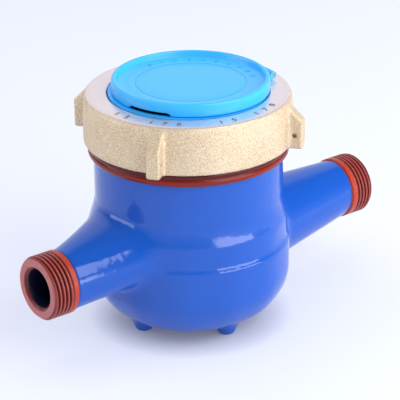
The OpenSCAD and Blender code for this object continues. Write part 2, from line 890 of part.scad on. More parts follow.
body();
ring_nut();
slip_washer();
lid_bezel();
hinge_pin();
lid();
glass();
glass_gasket();
pressure_plate();
plate_seal();
measuring_chamber();
chamber_cover();
bowl_strainer();
inlet_strainer();
pivot_pin();
impeller();
drive_magnet();
register_cup();
base_plate();
plate_pillars();
top_plate();
dial_plate();
follower_arbor();
follower_magnet();
star_wheel();
first_idler();
idler_1();
idler_2();
idler_3();
idler_4();
idler_5();
pointer_gear_1();
pointer_gear_2();
pointer_gear_3();
pointer_gear_4();
pointer_gear_5();
pointer_gear_6();
pointer_1();
pointer_2();
pointer_3();
pointer_4();
pointer_5();
pointer_6();
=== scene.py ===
import json
import math

import bpy
import numpy as np
from mathutils import Matrix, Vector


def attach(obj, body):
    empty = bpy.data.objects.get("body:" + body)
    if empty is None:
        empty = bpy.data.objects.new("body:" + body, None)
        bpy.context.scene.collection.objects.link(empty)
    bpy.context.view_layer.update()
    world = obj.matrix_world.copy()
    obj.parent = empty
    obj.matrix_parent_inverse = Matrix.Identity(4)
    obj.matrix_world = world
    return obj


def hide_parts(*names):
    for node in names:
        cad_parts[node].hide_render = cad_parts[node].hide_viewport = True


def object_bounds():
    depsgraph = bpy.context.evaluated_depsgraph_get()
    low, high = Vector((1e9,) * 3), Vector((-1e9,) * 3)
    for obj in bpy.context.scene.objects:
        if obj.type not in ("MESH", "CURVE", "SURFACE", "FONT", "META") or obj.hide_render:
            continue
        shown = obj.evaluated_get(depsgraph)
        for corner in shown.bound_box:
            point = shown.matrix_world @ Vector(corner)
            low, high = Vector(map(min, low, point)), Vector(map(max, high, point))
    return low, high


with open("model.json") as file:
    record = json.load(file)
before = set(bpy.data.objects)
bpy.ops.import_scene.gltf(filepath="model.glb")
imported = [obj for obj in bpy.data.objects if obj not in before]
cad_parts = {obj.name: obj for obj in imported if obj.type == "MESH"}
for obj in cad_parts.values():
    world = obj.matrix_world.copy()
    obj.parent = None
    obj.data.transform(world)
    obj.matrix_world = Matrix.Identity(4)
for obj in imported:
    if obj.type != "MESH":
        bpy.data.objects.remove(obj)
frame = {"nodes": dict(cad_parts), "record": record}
cad_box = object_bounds()


# Body: one iron casting, dipped in glossy blue enamel. Barrel, shoulder and bowl are the turned shapes of
# the pattern, two arms run into them with wide fillets, and four short feet stand under the bowl. Lengths
# here and below are in millimetres, from the meter axis and over the floor.
mm = 0.001
joint_at = {j["name"]: np.array(j["pos_m"]) / mm for j in frame["record"]["behaviour"]["joints"]}
meter_axis = joint_at["impeller_spin"] * [1, 1, 0]
pipe_axis = 34.4
past = -60.0
parting_shift = np.array([-0.3, 0.3, 0])
wave_reach, shoulder_share = 36.0, 0.6
neck_r = 12.56
bowl_edge, shoulder_edge, barrel_edge, collar_edge = 0.6, 1.1, 1.0, 0.5
slow_waves, slow_height, fast_waves, fast_height = 5, 0.16, 13, 0.12
outlet_arm = dict(neck_x=-65.1, root_x=-24.5, root_w=26.9, root_top=60.2, root_low=27.4, bulge=1.2)
inlet_arm = dict(neck_x=81.1, root_x=24.5, root_w=20.4, root_top=48.7, root_low=11.4, bulge=1.0)
foot_circle, foot_r, foot_flare, foot_h = 24.5, 3.4, 0.42, 6.4
step_fillet, barrel_fillet, arm_fillet, foot_fillet = 0.8, 1.4, 4.0, 1.6
water_ways = [(-90, 0, 29.5, 8.1), (-60.8, 22.57, 35.4, 6.3), (63, 0, 40, 8.1), (63, 198, 35.9, 8.2)]
bends, bend_r = (-60.8, 63.2), 8.35


def sdf_profile(p, pts):
    """Signed distance from 2-D points to a closed outline: the nearest edge, negative inside."""
    a = np.asarray(pts, float)
    b = np.roll(a, -1, 0)
    best = np.full(len(p), np.inf)
    odd = np.zeros(len(p), bool)
    for (ax, ay), (bx, by) in zip(a, b):
        ex, ey = bx - ax, by - ay
        wx, wy = p[:, 0] - ax, p[:, 1] - ay
        t = np.clip((wx * ex + wy * ey) / (ex * ex + ey * ey), 0, 1)
        best = np.minimum(best, (wx - ex * t) ** 2 + (wy - ey * t) ** 2)
        crosses = (ay > p[:, 1]) != (by > p[:, 1])
        if by != ay:
            odd ^= crosses & (wx < ex * wy / ey)
    return np.where(odd, -1, 1) * np.sqrt(best)


def turned(p, pts, r=0.0):
    """Solid of revolution about Z: the outline in (radius, height), grown by r so that its corners are
    round."""
    return sdf_profile(np.stack([np.hypot(p[:, 0], p[:, 1]), p[:, 2]], 1), pts) - r


def plug(r, low, high):
    """Outline of a plain round plug; it starts past the axis, so that the turned solid is whole there."""
    return [[past, low], [r, low], [r, high], [past, high]]


def bowl(r, low, high, flat):
    """Outline of a quarter oval from a flat bottom of radius flat up to a wall of radius r."""
    a = np.linspace(0, math.pi / 2, 13)
    curve = np.stack([flat + (r - flat) * np.sin(a), high - (high - low) * np.cos(a)], 1)
    return [[past, low]] + curve.tolist()


def rod(p, start, along, length, radius):
    """Straight round bar from a start point along a unit direction."""
    w = p - np.asarray(start, float)
    t = w @ np.asarray(along, float)
    side = np.sqrt(np.maximum((w * w).sum(1) - t * t, 0)) - radius
    end = np.maximum(-t, t - length)
    return np.maximum(side, end)


def soft_union(a, b, k):
    """Union of two fields with a fillet about k wide where they meet."""
    h = np.maximum(k - np.abs(a - b), 0) / k
    return np.minimum(a, b) - h * h * k / 4


def arm_field(p, neck_x, root_x, root_w, root_top, root_low, bulge):
    """Arm of oval sections: half-width and top go from the round neck to the root by a power of the way
    along, the underside goes straight."""
    t = (p[:, 0] - neck_x) / (root_x - neck_x)
    u = np.clip(t, 0, 1)
    e = u ** bulge
    top = pipe_axis + neck_r + (root_top - pipe_axis - neck_r) * e
    low = pipe_axis - neck_r + (root_low - pipe_axis + neck_r) * u
    w = neck_r + (root_w - neck_r) * e
    h = (top - low) / 2
    y, z = p[:, 1] / w, (p[:, 2] - (top + low) / 2) / h
    q = np.sqrt(y * y + z * z) + 1e-9
    slope = np.sqrt((y / w) ** 2 + (z / h) ** 2) / q
    side = (q - 1) / np.maximum(slope, 1e-3)
    ends = np.maximum(-t, t - 1) * abs(root_x - neck_x)
    return np.maximum(side, ends)


def body_field(p):
    """Casting: turned bowl, shoulder and barrel, two arms and feet, minus the water spaces. A wave that
    grows from the axis outward makes the parting line of bowl and shoulder uneven, as cast."""
    around = np.arctan2(p[:, 1], p[:, 0])
    wave = slow_height * np.sin(slow_waves * around + 1) + fast_height * np.sin(fast_waves * around)
    wave = wave * np.clip(np.hypot(p[:, 0], p[:, 1]) / wave_reach, 0, 1) ** 2
    lower = bowl(40.9, 3.1, 24.8, 18.3) + [[40.9, 36.6], [39.4, 39.0], [past, 39.1]]
    lower = turned(p + parting_shift, lower, bowl_edge) - wave
    middle = [[past, 8.4], [30, 8.4], [39.6, 25.4], [39.7, 47.3], [37.7, 53.2], [past, 53.4]]
    middle = turned(p, middle, shoulder_edge) - shoulder_share * wave
    barrel = turned(p, plug(38.0, 28.4, 74.3), barrel_edge)
    collar = turned(p, plug(38.0, 74.5, 93.7), collar_edge)
    d = soft_union(soft_union(lower, middle, step_fillet), barrel, barrel_fillet)
    d = soft_union(d, arm_field(p, **outlet_arm), arm_fillet)
    d = soft_union(d, arm_field(p, **inlet_arm), arm_fillet)
    d = np.minimum(d, collar)
    for x, y in ((1, 0), (0, 1), (-1, 0), (0, -1)):
        r = np.hypot(p[:, 0] - x * foot_circle, p[:, 1] - y * foot_circle) - (foot_r + foot_flare * p[:, 2])
        foot = np.maximum(r * math.cos(math.atan(foot_flare)), np.maximum(-p[:, 2], p[:, 2] - foot_h))
        d = soft_union(d, foot, foot_fillet)
    spaces = [turned(p, bowl(34.8, 7.0, 25.4, 16.3) + [[34.8, 36.4], [past, 36.4]]),
              turned(p, plug(25.3, 35.4, 41.4)),
              turned(p, plug(33.8, 40.4, 78.7)),
              turned(p, plug(36.5, 77.7, 97))]
    for x, slope, length, radius in water_ways:
        a = math.radians(slope)
        spaces.append(rod(p, (x, 0, pipe_axis), (math.cos(a), 0, math.sin(a)), length, radius))
    for x in bends:
        spaces.append(np.linalg.norm(p - np.array([x, 0, pipe_axis]), axis=1) - bend_r)
    return np.maximum(d, -np.minimum.reduce(spaces))


def skin(field, lo, hi, h):
    """Skin of a solid given by its distance field: one point in each grid cell that the surface crosses
    and one four-sided face for each grid edge that it crosses; the points then slide down the slope on to
    the surface."""
    axes = [np.arange(a, b + h, h) for a, b in zip(lo, hi)]
    grid = np.stack(np.meshgrid(*axes, indexing="ij"), -1)
    n = grid.shape[:3]
    inside = (field(grid.reshape(-1, 3)) < 0).reshape(n)
    count = sum(inside[i:n[0] - 1 + i, j:n[1] - 1 + j, k:n[2] - 1 + k].astype(np.int8)
                for i in (0, 1) for j in (0, 1) for k in (0, 1))
    cells = (count > 0) & (count < 8)
    index = np.full(cells.shape, -1)
    index[cells] = np.arange(cells.sum())
    v = np.array(lo, float) + (np.argwhere(cells) + 0.5) * h
    faces = []
    for a in range(3):
        b, c = (a + 1) % 3, (a + 2) % 3
        m = np.moveaxis(inside, (a, b, c), (0, 1, 2))
        x = np.moveaxis(index, (a, b, c), (0, 1, 2))
        first, second = m[:-1, 1:-1, 1:-1], m[1:, 1:-1, 1:-1]
        quad = np.stack([x[:, :-1, :-1], x[:, 1:, :-1], x[:, 1:, 1:], x[:, :-1, 1:]], -1)
        faces += [quad[first & ~second], quad[~first & second][:, ::-1]]
    slides, reach, least_slope = 5, 0.05, 0.05
    for _ in range(slides):
        f = field(v)
        g = np.stack([(field(v + e) - field(v - e)) / (2 * reach) for e in np.eye(3) * reach], 1)
        step = (f / np.maximum((g * g).sum(1), least_slope))[:, None] * g
        v = v - np.clip(step, -0.5 * h, 0.5 * h)
    return v, np.concatenate(faces)


def placed(name, data):
    """Object of a mesh, a lamp or the camera, linked to the scene."""
    obj = bpy.data.objects.new(name, data)
    bpy.context.scene.collection.objects.link(obj)
    return obj


def piece(name, v, faces, body, material, smooth=True):
    """Mesh object from points in millimetres about the meter axis and faces with equal numbers of
    corners; it rides on a body of the frame."""
    mesh = bpy.data.meshes.new(name)
    faces = np.asarray(faces)
    points = (np.asarray(v, float) + meter_axis) * mm
    mesh.vertices.add(len(points))
    mesh.vertices.foreach_set("co", points.astype(np.float32).ravel())
    mesh.loops.add(faces.size)
    mesh.loops.foreach_set("vertex_index", faces.astype(np.int32).ravel())
    mesh.polygons.add(len(faces))
    mesh.polygons.foreach_set("loop_start", np.arange(0, faces.size, faces.shape[1], dtype=np.int32))
    mesh.polygons.foreach_set("use_smooth", np.full(len(faces), smooth))
    mesh.update(calc_edges=True)
    mesh.validate()
    mesh.materials.append(material)
    obj = placed(name, mesh)
    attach(obj, body)
    return obj


def lin(code):
    """Linear colour of an sRGB hex code."""
    s = [int(code[i:i + 2], 16) / 255 for i in (1, 3, 5)]
    return [c / 12.92 if c <= 0.04045 else ((c + 0.055) / 1.055) ** 2.4 for c in s] + [1.0]


def add(tree, kind, props=None, **sockets):
    """Shader node of a kind with its settings. A socket is given by its name, or by i and its number, and
    takes a value or a link from another node's socket."""
    made = tree.nodes.new("ShaderNode" + kind)
    for key, value in (props or {}).items():
        setattr(made, key, value)
    for key, value in sockets.items():
        numbered = key[0] == "i" and key[1:].isdigit()
        socket = made.inputs[int(key[1:]) if numbered else key.replace("_", " ")]
        if isinstance(value, bpy.types.NodeSocket):
            tree.links.new(value, socket)
        else:
            socket.default_value = value
    return made


def material(name, **sockets):
    """New material with one principled shader; gives it, its tree and the shader's sockets for what is
    linked later."""
    made = bpy.data.materials.new(name)
    made.use_nodes = True
    tree = made.node_tree
    tree.nodes.clear()
    shader = add(tree, "BsdfPrincipled", **sockets)
    add(tree, "OutputMaterial", Surface=shader.outputs["BSDF"])
    return made, tree, shader.inputs


def per_metre(size):
    """Scale of a pattern whose marks are a size in millimetres apart."""
    return 1 / (size * mm)


# Blue enamel, dipped: deep royal blue, wet gloss, slow waves where it ran and a faint orange peel.
enamel, tree, shader = material("enamel_dipped_blue", Base_Color=lin("#1152b6"), Roughness=0.11, IOR=1.5)
at = add(tree, "TexCoord").outputs["Object"]
peel = add(tree, "TexNoise", Vector=at, Scale=per_metre(2.63), Detail=1.0)
run = add(tree, "TexNoise", Vector=at, Scale=per_metre(13.33), Detail=1.0)
both = add(tree, "Math", {"operation": "MULTIPLY_ADD"},
           i0=peel.outputs["Fac"], i1=0.3, i2=run.outputs["Fac"])
bump = add(tree, "Bump", Height=both.outputs["Value"], Strength=0.2, Distance=1.2 * mm)
tree.links.new(bump.outputs["Normal"], shader["Normal"])

v, f = skin(body_field, lo=(-66.6, -43.9, -1.2), hi=(82.8, 43.9, 95.8), h=0.9)
body_skin = piece("body_skin", v, f, "housing", enamel)
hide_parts("body")


# Pipe threads: cut on both ends of the casting and left in red-brown primer. Each has a chamfered start,
# a plain land behind the last turn, a broad end face and a bore.
outlet_face, inlet_face = (corner[0] / mm - meter_axis[0] for corner in cad_box)
pitch, crest_r, thread_depth = 1.814, 13.22, 1.16
root_share, flank_share = 0.12, 0.62
land_start, land_end, land_runout = 8.4, 11.3, 1.0
start_r, start_slope, end_slope = 12.2, 0.9, 1.4


def grid_faces(rows, turns, ring):
    """Four-sided faces of a grid of rows by turns that closes round the turns; the rows close into a
    ring, or each end is drawn to one pole point, which follows the grid's own points."""
    i, j = np.meshgrid(np.arange(rows if ring else rows - 1), np.arange(turns), indexing="ij")
    k, l = (i + 1) % rows, (j + 1) % turns
    faces = np.stack([i * turns + j, i * turns + l, k * turns + l, k * turns + j], -1).reshape(-1, 4)
    if ring:
        return faces
    j, last, pole = np.arange(0, turns, 2), (rows - 1) * turns, rows * turns
    one, two = (j + 1) % turns, (j + 2) % turns
    first = np.stack([np.full(len(j), pole), two, one, j], -1)
    end = np.stack([last + j, last + one, last + two, np.full(len(j), pole + 1)], -1)
    return np.concatenate([faces, first, end])


def all_round(rows, turns):
    """The same (radius, along) of each row at every turn."""
    return np.repeat(np.asarray(rows, float)[:, None, :], turns, 1)


def lathe(rows, ring=True):
    """Surface of revolution: the (radius, along) of each row and turn is carried round the axis; without
    a ring the first and last rows close on the axis."""
    turns = rows.shape[1]
    a = np.linspace(0, 2 * math.pi, turns, endpoint=False)
    v = np.stack([rows[..., 0] * np.cos(a), rows[..., 0] * np.sin(a), rows[..., 1]], -1).reshape(-1, 3)
    if not ring:
        v = np.concatenate([v, [[0, 0, rows[0, 0, 1]], [0, 0, rows[-1, 0, 1]]]])
    return v, grid_faces(len(rows), turns, ring)


def pipe_thread(face, way):
    """Thread as height on a cylinder: radius = root + depth x flank(depth from the face / pitch - turn),
    smoothed, under the chamfers; it starts at an end face and runs one way along the pipe axis."""
    turns = 160
    turn = np.linspace(0, 1, turns, endpoint=False)
    x = np.linspace(0.05, 12.2, 150)[:, None]
    phase = (x / pitch - turn) % 1
    flank = np.clip((np.abs(phase - 0.5) * 2 - root_share) / flank_share, 0, 1)
    flank = flank * flank * (3 - 2 * flank)
    land = np.clip((x - land_start) / land_runout, 0, 1)
    r = crest_r - thread_depth * (1 - flank) * (1 - land)
    r = np.minimum(r, start_r + x * start_slope)
    r = np.minimum(r, crest_r - (x - land_end) * end_slope)
    wall = np.stack([r, np.broadcast_to(x, r.shape)], -1)
    bore = all_round([[7.9, 16], [7.9, 1.3], [8.1, 1.0], [9.1, 0.1], [9.3, 0.0], [11.9, 0.0]], turns)
    back = all_round([[11.9, 12.6], [11.8, 16]], turns)
    v, faces = lathe(np.concatenate([bore, wall, back]))
    return np.stack([face + way * v[:, 2], way * v[:, 0], v[:, 1] + pipe_axis], 1), faces


# Red-brown primer, brushed on: painted shade makes it dark in the grooves, and a painted highlight makes the
# crests pale and shiny. It is rubbed paler and shiny on the end face, and thick and orange-red beside the
# enamel. The chamfer is painted darker as shade, and past it the bore is painted into shade.
primer, tree, shader = material("primer_brushed_red", Roughness=0.32, Specular_IOR_Level=0.35)
at = add(tree, "TexCoord").outputs["Object"]
xyz = add(tree, "SeparateXYZ", Vector=at)
up = add(tree, "Math", {"operation": "SUBTRACT"}, i0=xyz.outputs["Z"], i1=pipe_axis * mm)
off = add(tree, "CombineXYZ", Y=xyz.outputs["Y"], Z=up.outputs["Value"])
rad = add(tree, "VectorMath", {"operation": "LENGTH"}, i0=off.outputs["Vector"]).outputs["Value"]
ends = add(tree, "Math", {"operation": "ABSOLUTE"}, i0=xyz.outputs["X"]).outputs["Value"]
# Painted shade in the thread grooves and a painted highlight on the crests, set by the radius.
groove_shade_crest_highlight = add(tree, "MapRange", Value=rad, From_Min=12.1 * mm, From_Max=13.2 * mm)
face = add(tree, "MapRange", Value=ends, From_Min=84.6 * mm, From_Max=84.9 * mm)
thick = add(tree, "MapRange", Value=ends, From_Min=75.2 * mm, From_Max=76.0 * mm, To_Min=1.0, To_Max=0.0)
# Painted shade on the chamfer that leads into the bore.
chamfer_shade = add(tree, "MapRange", Value=rad, From_Min=9.0 * mm, From_Max=9.5 * mm, To_Min=1.0, To_Max=0.0)
deep = add(tree, "MapRange", Value=rad, From_Min=7.95 * mm, From_Max=8.2 * mm, To_Min=1.0, To_Max=0.0)
grain = add(tree, "TexNoise", Vector=at, Scale=per_metre(1.11), Detail=3.0).outputs["Fac"]
tone = add(tree, "MixRGB", Fac=groove_shade_crest_highlight.outputs["Result"], Color1=lin("#4a0a0a"), Color2=lin("#a0463f"))
strip = add(tree, "MixRGB", Fac=thick.outputs["Result"], Color1=tone.outputs["Color"], Color2=lin("#b03a22"))
pale = add(tree, "MixRGB", Fac=face.outputs["Result"], Color1=strip.outputs["Color"], Color2=lin("#b06462"))
rub = add(tree, "MixRGB", {"blend_type": "OVERLAY"}, Fac=0.3, Color1=pale.outputs["Color"], Color2=grain)
edge = add(tree, "MixRGB", Fac=chamfer_shade.outputs["Result"], Color1=rub.outputs["Color"], Color2=lin("#6e1c1c"))
dark = add(tree, "MixRGB", Fac=deep.outputs["Result"], Color1=edge.outputs["Color"], Color2=lin("#12142e"))
tree.links.new(dark.outputs["Color"], shader["Base Color"])
bump = add(tree, "Bump", Height=grain, Strength=0.25, Distance=0.3 * mm)
tree.links.new(bump.outputs["Normal"], shader["Normal"])

for name, face, way in (("outlet_thread", outlet_face, 1), ("inlet_thread", inlet_face, -1)):
    v, f = pipe_thread(face, way)
    piece(name, v, f, "housing", primer)


# Collar: the flange and coarse thread that the ring nut screws down on, turned on the casting and brushed
# with primer. The flange with its ring groove shows under the nut.
collar_r, collar_pitch, collar_depth = 40.0, 2.9, 1.0
rows = [[38.2, 94.1], [38.2, 74.8], [40.5, 74.8], [41.0, 75.1], [41.3, 75.6], [41.3, 77.0], [41.2, 77.15],
        [40.6, 77.45], [40.6, 77.75], [41.2, 78.05], [41.3, 78.2], [41.3, 79.4], [41.1, 79.8], [40.7, 80.0],
        [collar_r, 80.0]]
for i in range(4):
    low = 81.6 + collar_pitch * i
    root = collar_r - collar_depth
    rows += [[collar_r, low], [root, low + 0.3], [root, low + 0.7], [collar_r, low + 1.0]]
rows += [[collar_r, 93.3], [39.2, 94.1]]

# Red-brown primer, brushed thick: glossy, and painted darker as shade above the groove of the flange, under
# the ring nut.
collar_primer, tree, shader = material("primer_brushed_collar", Roughness=0.2, Specular_IOR_Level=0.3)
xyz = add(tree, "SeparateXYZ", Vector=add(tree, "TexCoord").outputs["Object"])
# Painted shade: the flange is darker above its groove, where the ring nut hangs over it.
under_nut_shade = add(tree, "MapRange", Value=xyz.outputs["Z"], From_Min=77.4 * mm, From_Max=78.0 * mm)
tone = add(tree, "MixRGB", Fac=under_nut_shade.outputs["Result"], Color1=lin("#7e1e12"), Color2=lin("#52120e"))
tree.links.new(tone.outputs["Color"], shader["Base Color"])

v, f = lathe(all_round(rows, 200))
piece("collar_thread", v, f, "housing", collar_primer)


# Water side: moulded strainers and chamber drop into the bowl, the vane wheel turns in them on a steel
# pin with a magnet on its hub, and a moulded plate on a rubber ring closes the water off.
def dress(finish, *nodes):
    """Puts one material on CAD nodes."""
    for node in nodes:
        mesh = frame["nodes"][node].data
        mesh.materials.clear()
        mesh.materials.append(finish)


# White plastic, moulded: warm white with a satin face.
white = material("plastic_moulded_white", Base_Color=lin("#e6e3d8"), Roughness=0.4)[0]
dress(white, "bowl_strainer", "inlet_strainer", "measuring_chamber", "chamber_cover")
# Straw plastic, moulded: the pale yellow of unpainted resin, a little duller.
straw = material("plastic_moulded_straw", Base_Color=lin("#d6c38a"), Roughness=0.45)[0]
dress(straw, "impeller")
# Steel, drawn: grey and bright, with soft reflections.
steel = material("steel_drawn", Base_Color=lin("#8d9094"), Metallic=1.0, Roughness=0.45)[0]
dress(steel, "pivot_pin")
# Ferrite, pressed: charcoal and dull.
ferrite = material("ferrite_pressed", Base_Color=lin("#3a3a3d"), Roughness=0.55)[0]
dress(ferrite, "drive_magnet")
# Grey plastic, moulded: mid grey and dull.
grey = material("plastic_moulded_grey", Base_Color=lin("#858b90"), Roughness=0.45)[0]
dress(grey, "pressure_plate")
# Rubber, moulded: black and matt.
rubber = material("rubber_moulded", Base_Color=lin("#1b1b1c"), Roughness=0.7)[0]
dress(rubber, "plate_seal")


# Register: a moulded cup with two gear plates on steel pillars. A second magnet on the centre arbor
# follows the vane wheel, white gears count down to six pointers, and a red star shows that water runs.
dress(white, "register_cup", "follower_arbor", "first_idler")
dress(white, *(f"idler_{i}" for i in range(1, 6)), *(f"pointer_gear_{i}" for i in range(1, 7)))
dress(straw, "base_plate", "top_plate")
dress(steel, "plate_pillars")
dress(ferrite, "follower_magnet")
# Red plastic and black plastic, moulded: full colours with a half gloss.
red = material("plastic_moulded_red", Base_Color=lin("#c4261c"), Roughness=0.35)[0]
dress(red, "star_wheel", *(f"pointer_{i}" for i in range(1, 5)))
black = material("plastic_moulded_black", Base_Color=lin("#1d1d1e"), Roughness=0.35)[0]
dress(black, "pointer_5", "pointer_6")
# Dial, printed: a white ground with little gloss.
dial = material("dial_printed_white", Base_Color=lin("#f2f2ee"), Roughness=0.5)[0]
dress(dial, "dial_plate")


# Dial scales: ten ticks screen-printed round each pointer, red for the parts of a cubic metre and black
# for the whole ones.
tick_inner, tick_length, tick_width, ink_depth, dial_top = 4.8, 1.5, 0.6, 0.06, 85.11


def dial_ticks(pointers):
    """Bars: a unit box is stretched to one tick, set off from the pointer's middle and turned by tenths
    of a turn, from the direction in which that middle lies."""
    box = np.stack(np.meshgrid([0, 1], [-0.5, 0.5], [0, 1], indexing="ij"), -1).reshape(-1, 3)
    middle = np.stack([joint_at[f"pointer_{i}_spin"] for i in pointers]) - meter_axis
    mx, my = middle[:, 0, None, None], middle[:, 1, None, None]
    turn = np.radians(36 * np.arange(10))[None, :, None] + np.arctan2(my, mx)
    r, w = tick_inner + tick_length * box[:, 0], tick_width * box[:, 1]
    x = mx + r * np.cos(turn) - w * np.sin(turn)
    y = my + r * np.sin(turn) + w * np.cos(turn)
    z = np.broadcast_to(dial_top + ink_depth * box[:, 2], x.shape)
    v = np.stack([x, y, z], -1).reshape(-1, 3)
    sides = np.array([[0, 1, 3, 2], [4, 6, 7, 5], [0, 4, 5, 1], [2, 3, 7, 6], [0, 2, 6, 4], [1, 5, 7, 3]])
    return v, (sides[None] + len(box) * np.arange(len(v) // len(box))[:, None, None]).reshape(-1, 4)


# Ink, screen-printed: flat and matt.
red_ink = material("ink_printed_red", Base_Color=lin("#c4261c"), Roughness=0.6)[0]
black_ink = material("ink_printed_black", Base_Color=lin("#1d1d1e"), Roughness=0.6)[0]
for name, pointers, ink in (("ticks_red", range(1, 5), red_ink), ("ticks_black", range(5, 7), black_ink)):
    v, f = dial_ticks(pointers)
    piece(name, v, f, "housing", ink, smooth=False)


# Glass: a cut disc over the register, on a rubber gasket, with a moulded washer on top so that the ring
# nut slips round without turning it.

# Float glass: almost clear, seen by its reflections and a faint green.
glass = material("glass_float", Base_Color=lin("#eef6f5"), Roughness=0.02, IOR=1.5, Alpha=0.1)[0]
dress(glass, "glass")
dress(rubber, "glass_gasket")
dress(white, "slip_washer")


# Ring nut: sand-cast brass, left rough on the side and lugs and faced on top. It screws on the collar and
# clamps the register; two of its four lugs are drilled for the seal wire.
lug_turn, lug_half, lug_round, lug_fillet = -145, 2.0, 0.8, 1.6
hole_out, hole_up, hole_r = 45.14, 85.97, 1.0


def ring_field(p):
    """Ring of the turned section, four lugs with a sloped top joined by a fillet, two drilled holes."""
    d = turned(p, [[33.4, 97.6], [38.6, 97.6], [40.5, 96.2], [40.5, 80.8], [42.5, 80.8], [42.5, 90.4],
                   [42.0, 98.4], [41.3, 99.6], [33.4, 99.9]], 0.4)
    bore = turned(p, plug(40.1, 68, 97.2))
    outline = [[41.2, 81.2], [47.7, 81.2], [47.7, 91.8], [41.9, 97.6], [41.2, 97.6]]
    lugs = []
    for s in range(4):
        a = math.radians(lug_turn + 90 * s)
        x = p[:, 0] * math.cos(a) + p[:, 1] * math.sin(a)
        y = -p[:, 0] * math.sin(a) + p[:, 1] * math.cos(a)
        side = sdf_profile(np.stack([x, p[:, 2]], 1), outline)
        half = np.abs(y) - lug_half
        corner = np.hypot(np.maximum(side, 0), np.maximum(half, 0))
        lug = corner + np.minimum(np.maximum(side, half), 0) - lug_round
        if s < 2:
            lug = np.maximum(lug, hole_r - np.hypot(x - hole_out, p[:, 2] - hole_up))
        lugs.append(lug)
    return np.maximum(soft_union(d, np.minimum.reduce(lugs), lug_fillet), -bore)


# Brass, sand-cast: pale and grainy with small pits; the top is faced, paler and smoother. The sand's
# grain of about 0.3 mm is drawn at 0.5 mm so that it shows.
brass, tree, shader = material("brass_sand_cast")
at = add(tree, "TexCoord").outputs["Object"]
xyz = add(tree, "SeparateXYZ", Vector=at)
grain = add(tree, "TexNoise", Vector=at, Scale=per_metre(0.5), Detail=3.0, Roughness=0.6).outputs["Fac"]
broad = add(tree, "TexNoise", Vector=at, Scale=per_metre(11.11), Detail=2.0).outputs["Fac"]
faced = add(tree, "MapRange", Value=xyz.outputs["Z"], From_Min=99.4 * mm, From_Max=100.1 * mm)
faced = faced.outputs["Result"]
spots = add(tree, "MapRange", Value=grain, From_Min=0.3, From_Max=0.7)
tone = add(tree, "MixRGB", Fac=spots.outputs["Result"], Color1=lin("#bb9f78"), Color2=lin("#f0e0c5"))
shade = add(tree, "MixRGB", {"blend_type": "SOFT_LIGHT"},
            Fac=0.3, Color1=tone.outputs["Color"], Color2=broad)
top = add(tree, "MixRGB", Fac=faced, Color1=shade.outputs["Color"], Color2=lin("#f2e2e0"))
tree.links.new(top.outputs["Color"], shader["Base Color"])
metal = add(tree, "MapRange", Value=faced, To_Min=0.4, To_Max=0.75)
tree.links.new(metal.outputs["Result"], shader["Metallic"])
rough = add(tree, "MapRange", Value=faced, To_Min=0.55, To_Max=0.22)
tree.links.new(rough.outputs["Result"], shader["Roughness"])
depth = add(tree, "MapRange", Value=faced, To_Min=0.4, To_Max=0.05)
bump = add(tree, "Bump", Height=grain, Strength=depth.outputs["Result"], Distance=0.4 * mm)
tree.links.new(bump.outputs["Normal"], shader["Normal"])

v, f = skin(ring_field, lo=(-50, -50, 79.4), hi=(50, 50, 101.4), h=0.7)
ring_skin = piece("ring_nut_skin", v, f, "housing", brass)
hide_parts("ring_nut")


# Size numbers: stamped into the faced top of the ring nut, one digit at a time. They are shown as thin
# dark marks on it.
def numbers(text, radius, start, step, tall, z, thick, outward):
    """Digits on a circle: each digit's outline is filled and given a thickness, its middle is put on the
    radius at start + i x step degrees, and its head is turned outward or toward the axis."""
    letter_box = 1.4
    points, triangles, count = [], [], 0
    for i, digit in enumerate(text):
        if digit == " ":
            continue
        curve = bpy.data.curves.new("digit", "FONT")
        curve.body = digit
        curve.size = tall * letter_box
        curve.extrude = thick / 2
        curve.align_x = "CENTER"
        holder = bpy.data.objects.new("digit", curve)
        mesh = bpy.data.meshes.new_from_object(holder)
        mesh.calc_loop_triangles()
        co = np.empty(len(mesh.vertices) * 3, np.float32)
        mesh.vertices.foreach_get("co", co)
        tri = np.empty(len(mesh.loop_triangles) * 3, np.int32)
        mesh.loop_triangles.foreach_get("vertices", tri)
        co, back = np.unique(np.round(co.reshape(-1, 3).astype(float), 5), axis=0, return_inverse=True)
        a = math.radians(start + i * step)
        radial = np.array([math.cos(a), math.sin(a), 0])
        along = np.array([-math.sin(a), math.cos(a), 0])
        head, side = (radial, -along) if outward else (-radial, along)
        up = np.array([0, 0, 1.0])
        middle = radial * radius + up * z
        points.append(middle + co[:, :1] * side + (co[:, 1:2] - tall / 2) * head + co[:, 2:] * up)
        triangles.append(back.reshape(-1)[tri].reshape(-1, 3) + count)
        count += len(co)
        bpy.data.objects.remove(holder)
        bpy.data.curves.remove(curve)
        bpy.data.meshes.remove(mesh)
    return np.concatenate(points), np.concatenate(triangles)


# Brass, stamped: the floor of a stamp mark, dull and in shade.
stamp = material("brass_stamped", Base_Color=lin("#8f8078"), Metallic=0.4, Roughness=0.6)[0]
v, f = numbers("15 170  15 170", radius=37.6, start=-176, step=8.5, tall=2.7, z=100.32, thick=0.06,
               outward=False)
piece("ring_numbers", v, f, "housing", stamp, smooth=False)


# Lid: injection-moulded in light blue, with a raised rim, a sunk face, a fine ring groove and a thumb
# slot in the skirt, across from the hinge. It closes on a bezel of the same plastic in the opening of
# the ring nut.
hinge = joint_at["lid_hinge"] - meter_axis
hinge_turn = math.atan2(hinge[1], hinge[0])
hinge_way = np.array([math.cos(hinge_turn), math.sin(hinge_turn), 0])
lid_shift = 1.4 * hinge_way
lid_r, lid_top, lid_low = 32.25, 106.0, 100.6
skirt, sunk, plate_low, rim_round = 2.4, 2.4, 0.9, 0.9
slot_turn, slot_half, slot_h = math.radians(200), 0.31, 1.2
strap_half, strap_h, ramp = 0.36, 0.9, 0.03


